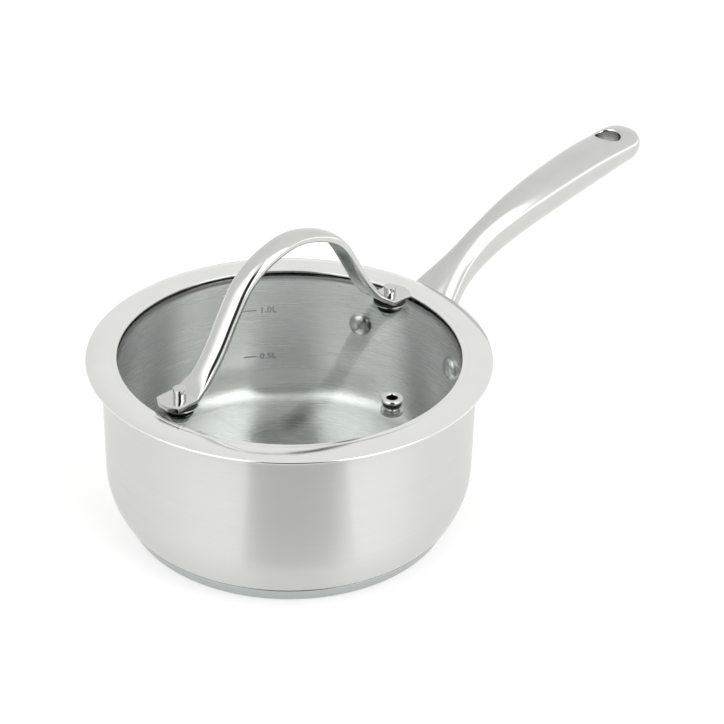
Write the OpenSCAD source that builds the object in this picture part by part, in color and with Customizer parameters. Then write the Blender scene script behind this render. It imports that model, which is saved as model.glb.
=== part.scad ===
// Saucepan with a glass lid: drawn steel vessel, capsule base, hollow riveted handle, strap-handled lid.
// The origin is the centre of the base's underside. The long handle runs along +X and +Z is up.

/* [Vessel] */
// Outside diameter of the straight wall
vessel_d = 161; // [120:1:240]
// Height of the rim above the table
vessel_h = 78; // [60:1:140]
// Thickness of the drawn steel
wall = 0.8; // [0.5:0.1:1.5]
// Radius of the large curve between the wall and the floor
corner_r = 35; // [20:1:45]
// How far the pouring rim flares out past the wall
rim_flare = 3.6; // [2:0.1:5]
// Height over which the rim flares
rim_flare_h = 5; // [3:0.5:8]

/* [Base] */
// Height of the seam between the base and the vessel
base_h = 8.4; // [6:0.1:12]
// Thickness of the steel cap under the base
cap_t = 0.8; // [0.5:0.1:1.5]
// Thickness of the aluminium disc inside the base
core_t = 5; // [3:0.5:7]
// Radius of the rounded edge under the base
cap_edge_r = 2.6; // [1:0.1:4]

/* [Handle] */
// Length of the handle from the wall to its tip, along X
handle_l = 162; // [120:1:220]
// Height of the handle's seam at its tip above the vessel's rim
handle_lift = 28; // [10:1:60]
// Half width of the handle at its neck
neck_half_w = 7.3; // [6:0.1:12]
// Half width of the handle at its grip
grip_half_w = 11; // [9:0.1:15]
// Depth of the upper shell above the seam
upper_depth = 11; // [8:0.1:15]
// Depth of the lower shell below the seam
lower_depth = 9.5; // [5:0.1:12]
// Thickness of the pressed shells
shell_t = 1; // [0.8:0.1:1.5]
// Radius of the hanging hole inside its liner
hang_r = 6.2; // [4:0.1:7]
// Distance from the handle's tip to the hanging hole's centre
hang_back = 19.5; // [14:0.5:28]
// Thickness of the tube that lines the hanging hole
liner_t = 0.8; // [0.6:0.1:1.2]

/* [Rivets] */
// Distance between the two handle rivets along the wall
rivet_gap = 58; // [44:1:60]
// Height of the vessel's rim above the rivets
rivet_drop = 28.6; // [20:1:34]
// Diameter of a rivet's shank
rivet_d = 6; // [4:0.1:7]
// Diameter of a rivet's head
rivet_head_d = 11; // [8:0.5:13]
// Thickness of the bracket that follows the wall
bracket_t = 2.5; // [1.5:0.1:4]

/* [Lid] */
// How far the lid's steel band reaches past the vessel's wall
band_over = 6.5; // [5:0.1:9]
// Width of the band seen from above
band_w = 13.2; // [8:0.1:18]
// Thickness of the band's steel
band_t = 0.6; // [0.4:0.1:1]
// Thickness of the glass
glass_t = 4; // [3:0.5:5]
// Height of the glass dome above its edge
glass_rise = 4.6; // [2:0.1:20]
// Gap between the lid and the pan where they meet
lid_gap = 0.2; // [0.1:0.05:0.4]
// Thickness of the seal around the glass
seal_t = 1.1; // [0.5:0.1:1.4]

/* [Lid handle] */
// Distance from the vessel's wall in to each post
post_inset = 17.5; // [16:0.5:30]
// Diameter of the post's visible head
post_d = 5.4; // [5:0.1:8]
// Height of the post's head above the strap's foot
post_h = 3.9; // [2:0.1:8]
// Height of the finger gap under the strap, above its feet
strap_rise = 50; // [35:0.1:65]
// Half width of the strap along its arch
strap_half_w = 5.2; // [4:0.1:8]
// Half width of the strap's feet
foot_half_w = 6.6; // [6:0.1:9]
// Radius of the rounded end of each foot, about its post
foot_end_r = 9.4; // [8.5:0.1:10.5]
// Height of the strap's crown along its arch
strap_t = 4.2; // [2.5:0.1:6]
// Thickness of the strap's feet
foot_t = 2.3; // [1.5:0.1:3]
// Thickness of each silicone washer
washer_t = 1; // [0.6:0.1:1.5]
// Diameter of the washers under the strap's feet
washer_d = 14.6; // [11:0.1:16]
// Thickness of the steel ring under each washer, at its thin side towards the lid's centre
ring_t = 0.15; // [0.1:0.05:0.8]
// Diameter of the washers under the glass
under_d = 11; // [9.5:0.5:14]
// Thickness of the post's wall around the screw
post_wall = 0.5; // [0.4:0.1:0.8]
// Thickness of the washer's sleeve inside the hole in the glass
sleeve_t = 1.3; // [0.8:0.1:2]

/* [Vent] */
// Distance from the vessel's wall in to the vent
vent_inset = 21.5; // [18:0.5:40]
// How far the vent's flange reaches past its hole in the glass
vent_over = 0.85; // [0.7:0.05:2]
// Gap around the vent's tube in the glass
vent_gap = 0.9; // [0.5:0.1:2]
// Diameter of the vent's hole
vent_hole_d = 4.5; // [2:0.1:5]
// Height of the vent's flange above the glass
vent_h = 2.4; // [1:0.1:3.5]

/* [Hidden] */
$fn = 96;
steel = "#c9cac8";
polished = "#dcdddb";
silicone = "#2b2c2c";
r_out = vessel_d / 2;
r_in = r_out - wall;
handle_reach = r_out + handle_l;
handle_rise = vessel_h + handle_lift;
rivet_z = vessel_h - rivet_drop;
post_x = r_out - post_inset;
shank_d = post_d - 1;
screw_d = shank_d - 2 * post_wall;
post_hole_d = shank_d + 2 * sleeve_t;
vent_x = r_out - vent_inset;
vent_body_d = vent_hole_d + 1.4;
vent_hole = vent_body_d + 2 * vent_gap;
vent_d = vent_hole + 2 * vent_over;

// Vessel: the floor's underside rests on the aluminium disc.
floor_z = cap_t + core_t;
corner_z = base_h + 18.3;
corner_x = r_out - corner_r;
seam_r = corner_x + sqrt(pow(corner_r, 2) - pow(corner_z - base_h, 2));
floor_r = seam_r - 3;
cap_side_r = seam_r - 0.3;
cap_foot_r = cap_side_r - (base_h - cap_edge_r) * 0.48 - cap_edge_r * 0.12;
core_r = cap_foot_r - cap_edge_r * 0.45 - cap_t;
corner_end = asin((corner_z - base_h) / corner_r);
rim_z = vessel_h - lid_gap;

function arc(cx, cz, r, a0, a1, n = 24) =
    [for (i = [0 : n]) let (a = a0 + (a1 - a0) * i / n) [cx + r * cos(a), cz + r * sin(a)]];
function smooth(u) = let (v = max(0, min(1, u))) v * v * (3 - 2 * v);
function mix(a, b, u) = a + (b - a) * u;

// Outer line of the vessel from the floor up to the rim; d moves it inwards by the wall.
function rim_line(d) =
    [for (i = [0 : 10]) let (u = i / 10)
        [r_out - d + rim_flare * (1 - cos(70 * u)) / (1 - cos(70)),
         rim_z - rim_flare_h * (1 - sin(70 * u) / sin(70))]];
function side_line(d) = concat(
    [[0, floor_z + d], [floor_r - d * 0.6, floor_z + d]],
    arc(corner_x, corner_z, corner_r - d, -corner_end, 0),
    rim_line(d));
function backwards(line) = [for (i = [len(line) - 1 : -1 : 0]) line[i]];

module vessel() {
    color(steel) difference() {
        rotate_extrude($fn = 180) polygon(concat(side_line(0), backwards(side_line(wall))));
        for (s = [-1, 1]) rivet_axis(s) cylinder(d = rivet_d, h = 3 * wall, center = true);
    }
}

module base_core() {
    color("#a9abac") translate([0, 0, cap_t]) cylinder(r = core_r, h = core_t, $fn = 180);
}

// The cap's wall ends on the vessel's sloping underside, just inside the seam.
module base_cap() {
    side_z = mix(floor_z, base_h, (cap_side_r - floor_r) / (seam_r - floor_r));
    color(steel) rotate_extrude($fn = 180) polygon(concat(
        [[0, 0]], arc(cap_foot_r - cap_edge_r, cap_edge_r, cap_edge_r, -90, -10, 10),
        [[cap_side_r, side_z], [floor_r, floor_z], [core_r, floor_z], [core_r, cap_t], [0, cap_t]]));
}

// Handle: stations along the handle, each [x, seam height, half width, depth above, depth below].
// The shells start inside the bracket's radius and are cut back to its curved face.
bracket_r = r_out + bracket_t;
root_x = bracket_r - 3;
function along(u) = mix(root_x, handle_reach, u);
stations = [
    [along(0), handle_rise - 49, 17.5, upper_depth + 1, lower_depth + 2.5],
    [along(0.077), handle_rise - 39.5, 13.4, upper_depth + 0.5, lower_depth + 1],
    [along(0.185), handle_rise - 28.5, grip_half_w - 2.8, upper_depth - 0.5, lower_depth],
    [along(0.283), handle_rise - 20.5, neck_half_w, upper_depth - 0.5, lower_depth],
    [along(0.411), handle_rise - 13.8, mix(neck_half_w, grip_half_w, 0.35), upper_depth, lower_depth],
    [along(0.568), handle_rise - 8.6, mix(neck_half_w, grip_half_w, 0.75), upper_depth + 0.5, lower_depth],
    [along(0.745), handle_rise - 4, grip_half_w, upper_depth, lower_depth],
    [along(0.902), handle_rise - 1.1, grip_half_w + 0.3, upper_depth - 1.8, lower_depth - 1],
    [along(1), handle_rise, grip_half_w + 0.3, upper_depth - 2.8, lower_depth - 2]];
function slope(k, c) =
    let (a = stations[max(0, k - 1)], b = stations[min(len(stations) - 1, k + 1)])
    (b[c] - a[c]) / (b[0] - a[0]);
function piece_at(x, k = 0) =
    (k >= len(stations) - 2 || x < stations[k + 1][0]) ? k : piece_at(x, k + 1);
function handle_at(x, c) =
    let (k = piece_at(x), a = stations[k], b = stations[k + 1], h = b[0] - a[0], u = (x - a[0]) / h)
    a[c] * (2 * pow(u, 3) - 3 * u * u + 1) + slope(k, c) * h * (pow(u, 3) - 2 * u * u + u)
    + b[c] * (3 * u * u - 2 * pow(u, 3)) + slope(k + 1, c) * h * (pow(u, 3) - u * u);

tip_l = 11;
handle_rings = 34;
arc_steps = 18;
function tip_round(x, reach) =
    let (u = max(0, (x - (reach - tip_l)) / tip_l)) sqrt(max(0.001, 1 - u * u));
function power(v, p) = sign(v) * pow(abs(v), p);
// One half section at x, with the shell's surface moved in by d. up is 1 for the upper shell and -1 below.
function half_ring(x, d, up, reach) =
    let (k = tip_round(x, reach), w = max(0.3, (handle_at(x, 2) - d) * k),
         t = (handle_at(x, up > 0 ? 3 : 4) - d) * mix(up > 0 ? 0.25 : 0.3, 1, k),
         p = up > 0 ? 2 / 2.4 : 2 / 2.2)
    [for (j = [0 : arc_steps]) let (a = 180 * j / arc_steps)
        [x, -w * power(cos(a), p), handle_at(x, 1) + up * t * power(sin(a), p)]];
function ring_x(i, d) =
    let (reach = handle_reach - d, n = handle_rings - 8, u = i / n)
    i <= n ? mix(root_x, reach - tip_l, u) : reach - tip_l + tip_l * sin(90 * (i - n) / 8);

module half_shell(up, inset) {
    m = arc_steps + 1;
    n = handle_rings;
    points = concat(
        [for (i = [0 : n]) each half_ring(ring_x(i, inset), inset, up, handle_reach - inset)],
        [for (i = [0 : n]) each half_ring(ring_x(i, inset + shell_t), inset + shell_t, up,
                                           handle_reach - inset - shell_t)]);
    inner = (n + 1) * m;
    outside = [for (i = [0 : n - 1]) for (j = [0 : m - 2])
        [i * m + j, i * m + j + 1, (i + 1) * m + j + 1, (i + 1) * m + j]];
    inside = [for (f = outside) [f[3] + inner, f[2] + inner, f[1] + inner, f[0] + inner]];
    rims = [for (i = [0 : n - 1]) each [
        [i * m, (i + 1) * m, (i + 1) * m + inner, i * m + inner],
        [i * m + m - 1, i * m + m - 1 + inner, (i + 1) * m + m - 1 + inner, (i + 1) * m + m - 1]]];
    root = [for (j = [0 : m - 2]) [j + 1, j, j + inner, j + 1 + inner]];
    tip = [[for (j = [0 : m - 1]) n * m + j],
           [for (j = [m - 1 : -1 : 0]) n * m + inner + j],
           [n * m, n * m + m - 1, n * m + m - 1 + inner, n * m + inner]];
    faces = concat(outside, inside, rims, root, tip);
    polyhedron(points, up > 0 ? faces : [for (f = faces) backwards(f)], convexity = 6);
}

// Hanging hole: square to the handle's slope, through both shells, lined by a tube.
hang_x = handle_reach - hang_back;
hang_tilt = -atan(slope(len(stations) - 2, 1));
hang_top = handle_at(hang_x, 3) - 1.6;
hang_bottom = handle_at(hang_x, 4) - 1.6;

module hang_place() {
    translate([hang_x, 0, handle_at(hang_x, 1)]) rotate([0, hang_tilt, 0]) children();
}

module hang_cut() {
    hang_place() cylinder(r = hang_r + liner_t, h = 60, center = true);
}

module hanging_liner() {
    color(steel) hang_place() translate([0, 0, -hang_bottom]) difference() {
        cylinder(r = hang_r + liner_t, h = hang_top + hang_bottom);
        translate([0, 0, -1]) cylinder(r = hang_r, h = hang_top + hang_bottom + 2);
    }
}

module handle_upper_shell() {
    color(polished) difference() {
        half_shell(1, 0);
        hang_cut();
        cylinder(r = bracket_r, h = 200, $fn = 180);
    }
}

module handle_lower_shell() {
    color(polished) difference() {
        half_shell(-1, 0.3);
        hang_cut();
        cylinder(r = bracket_r, h = 200, $fn = 180);
    }
}

// Bracket: a fishtail plate between the wall and the handle's root.
rivet_turn = rivet_gap / 2 / r_out * 180 / PI;
module rivet_axis(s) {
    rotate([0, 0, s * rivet_turn]) translate([r_out, 0, rivet_z]) rotate([0, 90, 0]) children();
}

bracket_end_r = rivet_head_d / 2 + 2;
module bracket_outline() {
    half = rivet_gap / 2;
    root = stations[0];
    waist = root[2] + 1.5;
    translate([0, rivet_z]) {
        for (s = [-1, 1]) translate([s * half, 0]) circle(bracket_end_r);
        polygon(concat(
            [[-half, -bracket_end_r], [half, -bracket_end_r], [half, bracket_end_r]],
            [[waist, root[1] + root[3] - rivet_z - 4], [waist - 6, root[1] + root[3] - rivet_z + 1]],
            [[6 - waist, root[1] + root[3] - rivet_z + 1], [-waist, root[1] + root[3] - rivet_z - 4]],
            [[-half, bracket_end_r]]));
    }
}

module handle_bracket() {
    color(polished) difference() {
        intersection() {
            rotate_extrude($fn = 180)
                translate([r_out, 0]) square([bracket_t, rim_z - rim_flare_h]);
            rotate([90, 0, 90]) linear_extrude(2 * r_out) bracket_outline();
        }
        for (s = [-1, 1]) rivet_axis(s) cylinder(d = rivet_d, h = 6 * bracket_t, center = true);
    }
}

module rivet(s) {
    head_h = rivet_head_d * 0.26;
    ball_r = (pow(rivet_head_d / 2, 2) + head_h * head_h) / 2 / head_h;
    color(polished) rivet_axis(s) {
        translate([0, 0, -wall - 0.6]) cylinder(d = rivet_d, h = wall + bracket_t + 0.6 + 0.8);
        translate([0, 0, -wall]) mirror([0, 0, 1]) translate([0, 0, 0.35]) intersection() {
            translate([0, 0, head_h - ball_r]) sphere(ball_r);
            cylinder(d = rivet_head_d, h = head_h);
        }
        translate([0, 0, bracket_t + 0.1]) cylinder(d = rivet_d + 3, h = 1.2);
    }
}
module rivet_left() rivet(1);
module rivet_right() rivet(-1);

// Lid: the band's flange rests on the rim, and its channel holds the sealed edge of the glass.
band_r = r_out + band_over;
band_in = band_r - band_w;
flange_z = vessel_h;
flange_top = flange_z + 2 * band_t;
channel_r = r_in - 1.1;
channel_in = channel_r - band_t;
glass_r = channel_in - seal_t;
glass_edge = flange_top - band_t - seal_t - glass_t;
dome_r = (glass_r * glass_r + glass_rise * glass_rise) / 2 / glass_rise;
function glass_top(x) = glass_edge + glass_t + glass_rise - dome_r + sqrt(dome_r * dome_r - x * x);
function glass_under(x) = glass_top(x) - glass_t;
crown = 0.55;

module band_section() {
    shoulder = band_r - 4;
    top = concat(
        arc(band_in + band_t / 2, flange_top - band_t / 2, band_t / 2, -90, -270, 8),
        [for (i = [1 : 8]) let (u = i / 8)
            [mix(band_in + band_t / 2, shoulder, u), flange_top + crown * sin(110 * u)]],
        arc(band_r - band_t, flange_z + band_t, band_t, 60, -90, 12));
    low = glass_edge - seal_t - band_t;
    polygon(concat(top, [[channel_r, flange_z], [channel_r, low], [glass_r - 3, low],
                         [glass_r - 3, low + band_t], [channel_in, low + band_t],
                         [channel_in, flange_top - band_t]]));
}

module lid_band() {
    color(polished) rotate_extrude($fn = 180) band_section();
}

module glass_section() {
    polygon(concat(
        [[0, glass_under(0)]],
        [for (i = [1 : 24]) let (x = (glass_r - 4) * i / 24) [x, glass_under(x)]],
        [[glass_r - 2, glass_edge], [glass_r, glass_edge], [glass_r, glass_edge + glass_t],
         [glass_r - 2, glass_edge + glass_t]],
        [for (i = [24 : -1 : 0]) let (x = (glass_r - 4) * i / 24) [x, glass_top(x)]]));
}

module post_places() {
    for (s = [-1, 1]) translate([s * post_x, 0, 0]) children();
}
module vent_place() {
    translate([0, -vent_x, 0]) children();
}

module lid_glass() {
    color("#9fb0ac", 0.35) difference() {
        rotate_extrude($fn = 180) glass_section();
        post_places() cylinder(d = post_hole_d, h = 300);
        vent_place() cylinder(d = vent_hole, h = 300);
    }
}

module lid_seal() {
    inner = band_in + 0.6;
    color(silicone) rotate_extrude($fn = 180) difference() {
        polygon([[glass_r - 3, glass_edge - seal_t], [channel_in, glass_edge - seal_t],
                 [channel_in, flange_top - band_t], [inner, flange_top - band_t],
                 [inner, glass_edge + glass_t - 1], [glass_r - 3, glass_edge + 1]]);
        glass_section();
    }
}

// Strap: a crowned bar bent into an arch. The arch line is the strap's underside,
// each point [share of the post's distance, share of the rise].
foot_z = glass_top(post_x - washer_d / 2 - 0.3) + ring_t + washer_t;
strap_end = post_x + foot_end_r + 0.2;
arch_points = [[0, 1], [0.16, 0.967], [0.32, 0.884], [0.445, 0.754], [0.555, 0.547],
               [0.667, 0.315], [0.778, 0.138], [0.889, 0.036], [0.945, 0]];
function arch_slope(k) =
    k == 0 || k == len(arch_points) - 1 ? 0
    : (arch_points[k + 1][1] - arch_points[k - 1][1]) / (arch_points[k + 1][0] - arch_points[k - 1][0]);
function arch_piece(v, k = 0) =
    (k >= len(arch_points) - 2 || v < arch_points[k + 1][0]) ? k : arch_piece(v, k + 1);
function arch_share(v) =
    let (k = arch_piece(v), a = arch_points[k], b = arch_points[k + 1], h = b[0] - a[0],
         u = min(1, (v - a[0]) / h))
    a[1] * (2 * pow(u, 3) - 3 * u * u + 1) + arch_slope(k) * h * (pow(u, 3) - 2 * u * u + u)
    + b[1] * (3 * u * u - 2 * pow(u, 3)) + arch_slope(k + 1) * h * (pow(u, 3) - u * u);
function arch(u) =
    let (x = mix(-strap_end, strap_end, u)) [x, foot_z + strap_rise * arch_share(abs(x) / post_x)];
strap_rings = 60;
function arch_u(i) = 0.5 - 0.5 * cos(180 * i / strap_rings);
function arch_normal(u) =
    let (a = arch(max(0, u - 0.002)), b = arch(min(1, u + 0.002)), d = b - a) [-d[1], d[0]] / norm(d);
function strap_half(x) = mix(strap_half_w, foot_half_w, smooth((abs(x) - post_x + 16) / 13));
function strap_deep(x) = mix(strap_t, foot_t, smooth((abs(x) - post_x + 17) / 12));
function strap_edge(x) = mix(1.1, foot_t - 0.4, smooth((abs(x) - post_x + 17) / 12));
crown_steps = 10;
function strap_ring(u) =
    let (p = arch(u), n = arch_normal(u), w = strap_half(p[0]),
         e = strap_edge(p[0]), h = strap_deep(p[0]) - e)
    concat([[p[0], -w, p[1]]],
           [for (j = [0 : crown_steps])
               let (a = 180 * j / crown_steps, k = e + h * pow(max(0, sin(a)), 0.8))
               [p[0] + n[0] * k, -w * cos(a), p[1] + n[1] * k]],
           [[p[0], w, p[1]]]);

module strap_sweep() {
    m = crown_steps + 3;
    n = strap_rings;
    points = [for (i = [0 : n]) each strap_ring(arch_u(i))];
    sides = [for (i = [0 : n - 1]) for (j = [0 : m - 1])
        [i * m + j, i * m + (j + 1) % m, (i + 1) * m + (j + 1) % m, (i + 1) * m + j]];
    ends = [[for (j = [m - 1 : -1 : 0]) j], [for (j = [0 : m - 1]) n * m + j]];
    polyhedron(points, concat(sides, ends), convexity = 8);
}

module lid_strap() {
    color(polished) difference() {
        intersection() {
            strap_sweep();
            union() {
                post_places() cylinder(r = foot_end_r, h = 300);
                translate([-post_x, -foot_end_r, 0]) cube([2 * post_x, 2 * foot_end_r, 300]);
            }
        }
        post_places() cylinder(d = shank_d, h = foot_z + foot_t + 3);
    }
}

// Posts go down through the strap, the washer and the glass; screws come up from below.
module post(s) {
    shank_z = glass_top(post_x) - glass_t / 2;
    head_z = foot_z + foot_t;
    color(polished) translate([s * post_x, 0, 0]) difference() {
        union() {
            translate([0, 0, shank_z]) cylinder(d = shank_d, h = head_z - shank_z);
            translate([0, 0, head_z]) cylinder(d = post_d, h = post_h - 0.5);
            translate([0, 0, head_z + post_h - 0.5]) cylinder(d1 = post_d, d2 = post_d - 1, h = 0.5);
        }
        cylinder(d = screw_d, h = head_z);
    }
}
module post_front() post(-1);
module post_back() post(1);

module washer(s, z, d, hole, t, c) {
    color(c) translate([s * post_x, 0, z]) difference() {
        cylinder(d = d, h = t);
        translate([0, 0, -1]) cylinder(d = hole, h = t + 2);
    }
}
// The ring lies on the glass, and the washer's sleeve lines the hole in the glass.
module ring(s) {
    color(polished) difference() {
        washer(s, glass_under(post_x) + 1, washer_d + 0.6, post_hole_d,
               foot_z - washer_t - glass_under(post_x) - 1, polished);
        rotate_extrude($fn = 180) glass_section();
    }
}
module ring_front() ring(-1);
module ring_back() ring(1);
module foot_washer(s) {
    sleeve_z = glass_under(post_x) + 0.8;
    washer(s, foot_z - washer_t, washer_d, shank_d, washer_t, silicone);
    washer(s, sleeve_z, post_hole_d, shank_d, foot_z - sleeve_z - 0.1, silicone);
}
module foot_washer_front() foot_washer(-1);
module foot_washer_back() foot_washer(1);

under_z = glass_under(post_x + under_d / 2) - washer_t;
module under_washer(s) {
    color(silicone) difference() {
        washer(s, under_z, under_d, screw_d, washer_t + 1.2, silicone);
        rotate_extrude($fn = 180) glass_section();
        translate([s * post_x, 0, glass_under(post_x)]) cylinder(d = post_hole_d, h = 9);
    }
}
module under_washer_front() under_washer(-1);
module under_washer_back() under_washer(1);

module screw(s) {
    color(steel) translate([s * post_x, 0, under_z]) {
        cylinder(d = screw_d, h = foot_z + foot_t - under_z - 1);
        translate([0, 0, -0.8]) cylinder(d = under_d - 1, h = 0.8);
        difference() {
            translate([0, 0, -2.8]) cylinder(d = screw_d + 3.6, h = 2);
            translate([0, 0, -3]) cylinder(d = 3, h = 1.6, $fn = 6);
        }
    }
}
module screw_front() screw(-1);
module screw_back() screw(1);

// Vent: a flanged eyelet through the glass, held by a turned nut below.
vent_top = glass_top(vent_x) + vent_h;
module vent_tube(z0, z1, d) {
    vent_place() translate([0, 0, z0]) difference() {
        cylinder(d = d, h = z1 - z0);
        translate([0, 0, -1]) cylinder(d = vent_hole_d, h = z1 - z0 + 2);
    }
}
vent_seat = glass_top(vent_x - vent_d / 2) + 0.15;
vent_low = glass_under(vent_x + vent_d / 2) - 1;
module vent_eyelet() {
    r = vent_d / 2;
    lip = 0.5;
    color(polished) vent_place() rotate_extrude() polygon(concat(
        [[vent_hole_d / 2, vent_low - 1.5], [vent_body_d / 2, vent_low - 1.5], [vent_body_d / 2, vent_seat]],
        arc(r - lip, vent_seat + lip, lip, -90, 0, 6),
        arc(r - lip, vent_top - lip, lip, 0, 90, 6),
        arc(vent_hole_d / 2 + lip, vent_top - lip, lip, 90, 180, 6)));
}
module vent_gasket() {
    color(silicone) difference() {
        vent_place() translate([0, 0, glass_under(vent_x)]) difference() {
            cylinder(d = vent_d - 1.2, h = vent_seat - glass_under(vent_x));
            translate([0, 0, -1]) cylinder(d = vent_body_d, h = 20);
        }
        difference() {
            rotate_extrude($fn = 180) glass_section();
            vent_place() cylinder(d = vent_hole, h = 300);
        }
        vent_place() translate([0, 0, glass_under(vent_x) - 1]) difference() {
            cylinder(d = vent_d + 2, h = glass_t + 0.5);
            translate([0, 0, -1]) cylinder(d = vent_hole, h = glass_t + 4);
        }
    }
}
module vent_nut() {
    color(polished) vent_place() translate([0, 0, vent_low - 1.5]) difference() {
        cylinder(d = vent_d, h = 1.5);
        translate([0, 0, -1]) cylinder(d = vent_body_d, h = 5);
    }
}

vessel();
base_core();
base_cap();
handle_bracket();
handle_upper_shell();
handle_lower_shell();
hanging_liner();
rivet_left();
rivet_right();
lid_glass();
lid_band();
lid_seal();
lid_strap();
post_front();
post_back();
ring_front();
ring_back();
foot_washer_front();
foot_washer_back();
under_washer_front();
under_washer_back();
screw_front();
screw_back();
vent_eyelet();
vent_gasket();
vent_nut();
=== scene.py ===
import math
import bmesh
import bpy
from mathutils import Matrix, Vector


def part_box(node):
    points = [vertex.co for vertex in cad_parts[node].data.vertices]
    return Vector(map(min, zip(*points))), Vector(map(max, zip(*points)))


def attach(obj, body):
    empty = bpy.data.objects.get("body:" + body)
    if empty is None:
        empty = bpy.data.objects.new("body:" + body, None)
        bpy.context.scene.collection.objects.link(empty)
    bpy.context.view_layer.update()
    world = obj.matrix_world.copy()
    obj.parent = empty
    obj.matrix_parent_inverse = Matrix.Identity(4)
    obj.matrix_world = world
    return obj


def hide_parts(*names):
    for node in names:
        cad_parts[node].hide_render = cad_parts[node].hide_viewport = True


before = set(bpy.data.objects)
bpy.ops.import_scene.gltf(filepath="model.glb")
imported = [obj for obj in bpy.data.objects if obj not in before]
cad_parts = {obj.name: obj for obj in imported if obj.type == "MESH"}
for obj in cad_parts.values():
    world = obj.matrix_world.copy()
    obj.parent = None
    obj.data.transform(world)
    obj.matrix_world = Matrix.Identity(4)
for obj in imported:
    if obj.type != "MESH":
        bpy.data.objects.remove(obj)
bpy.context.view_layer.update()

# --- Camera -------------------------------------------------------------------------------
# A long lens looks down on the lid from the side away from the long handle.
lens = bpy.data.cameras.new("camera")
lens.lens = 89.85
lens.sensor_width = 36
lens.clip_start = 0.05
lens.clip_end = 50
camera = bpy.data.objects.new("camera", lens)
camera_right = Vector((0.68455, -0.72851, 0.02557))
camera_up = Vector((0.35360, 0.36254, 0.86228))
camera.matrix_world = Matrix.Translation((-0.47401, -0.47401, 0.46710)) @ Matrix(
    (camera_right, camera_up, camera_right.cross(camera_up))).transposed().to_4x4()
bpy.context.collection.objects.link(camera)
bpy.context.scene.camera = camera
bpy.context.scene.view_settings.view_transform = "Standard"


# --- Studio -------------------------------------------------------------------------------
# A white light tent over a pale table: bright overhead, with a darker opening on one side.
def colour(code):
    parts = [int(code[i:i + 2], 16) / 255 for i in (1, 3, 5)]
    return [v / 12.92 if v <= 0.04045 else ((v + 0.055) / 1.055) ** 2.4 for v in parts] + [1]


def add(tree, kind, links=(), **settings):
    made = tree.nodes.new(kind)
    for key, value in settings.items():
        setattr(made, key, value)
    for socket, value in dict(links).items():
        if isinstance(value, bpy.types.NodeSocket):
            tree.links.new(value, made.inputs[socket])
        else:
            made.inputs[socket].default_value = value
    return made


TENT_WALL = 1.02
OPENING_AZIMUTH = 229
OPENING_HALF_WIDTH = 23
# Each panel: azimuth, half width, soft edge, lowest and highest sine of elevation, brightness.
PANELS = [(310, 50, 15, -1.0, 0.9, 1.05), (168, 34, 8, 0.15, 0.95, 2.3), (275, 22, 6, 0.15, 0.95, 3.1),
          (105, 40, 25, -0.2, 0.9, 0.95), (318, 26, 12, -0.3, 0.10, 2.2),
          (OPENING_AZIMUTH, OPENING_HALF_WIDTH, 3, -1.0, 0.90, 0.05)]
tent = bpy.data.worlds.new("tent")
bpy.context.scene.world = tent
tent.use_nodes = True
sky = tent.node_tree
sky.nodes.clear()
ray = add(sky, "ShaderNodeTexCoord").outputs["Generated"]
axes = add(sky, "ShaderNodeSeparateXYZ", {0: ray})
level = add(sky, "ShaderNodeCombineXYZ", {"X": axes.outputs["X"], "Y": axes.outputs["Y"]})
level = add(sky, "ShaderNodeVectorMath", {0: level.outputs[0]}, operation="NORMALIZE").outputs[0]
glow = TENT_WALL
for azimuth, half, soft, low, high, strength in PANELS:
    turn = math.radians(azimuth)
    facing = add(sky, "ShaderNodeVectorMath", {0: level, 1: (math.cos(turn), math.sin(turn), 0)},
                 operation="DOT_PRODUCT").outputs["Value"]
    beside = add(sky, "ShaderNodeMapRange", {
        "Value": facing, "From Min": math.cos(math.radians(half + soft)),
        "From Max": math.cos(math.radians(half - soft))}, interpolation_type="SMOOTHSTEP").outputs[0]
    over = add(sky, "ShaderNodeMapRange", {"Value": axes.outputs["Z"], "From Min": low - 0.06,
                                           "From Max": low + 0.06}).outputs[0]
    under = add(sky, "ShaderNodeMapRange", {"Value": axes.outputs["Z"], "From Min": high + 0.06,
                                            "From Max": high - 0.06}).outputs[0]
    inside = add(sky, "ShaderNodeMath", {0: beside, 1: over}, operation="MULTIPLY").outputs[0]
    inside = add(sky, "ShaderNodeMath", {0: inside, 1: under}, operation="MULTIPLY").outputs[0]
    glow = add(sky, "ShaderNodeMapRange", {"Value": inside, "To Min": glow,
                                           "To Max": strength}).outputs[0]
seen = add(sky, "ShaderNodeLightPath").outputs["Is Camera Ray"]
lit = add(sky, "ShaderNodeBackground", {"Strength": glow, "Color": colour("#FFFFFF")}).outputs[0]
plain = add(sky, "ShaderNodeBackground", {"Strength": 1.0, "Color": colour("#FEFEFE")}).outputs[0]
both = add(sky, "ShaderNodeMixShader", {0: seen, 1: lit, 2: plain}).outputs[0]
add(sky, "ShaderNodeOutputWorld", {"Surface": both})

# Matt white laminate table top.
laminate = bpy.data.materials.new("matt_white_laminate")
laminate.use_nodes = True
tree = laminate.node_tree
skin = tree.nodes["Principled BSDF"]
skin.inputs["Base Color"].default_value = colour("#B4B4B3")
skin.inputs["Roughness"].default_value = 0.9
skin.inputs["Specular IOR Level"].default_value = 0.2
skin.inputs["Emission Color"].default_value = colour("#FFFFFF")
skin.inputs["Emission Strength"].default_value = 0.56
TABLE_R = 4
bm = bmesh.new()
bmesh.ops.create_circle(bm, cap_ends=True, segments=96, radius=TABLE_R)
table = bpy.data.meshes.new("table_top")
bm.to_mesh(table)
bm.free()
table.materials.append(laminate)
table = bpy.data.objects.new("table_top", table)
bpy.context.collection.objects.link(table)

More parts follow.
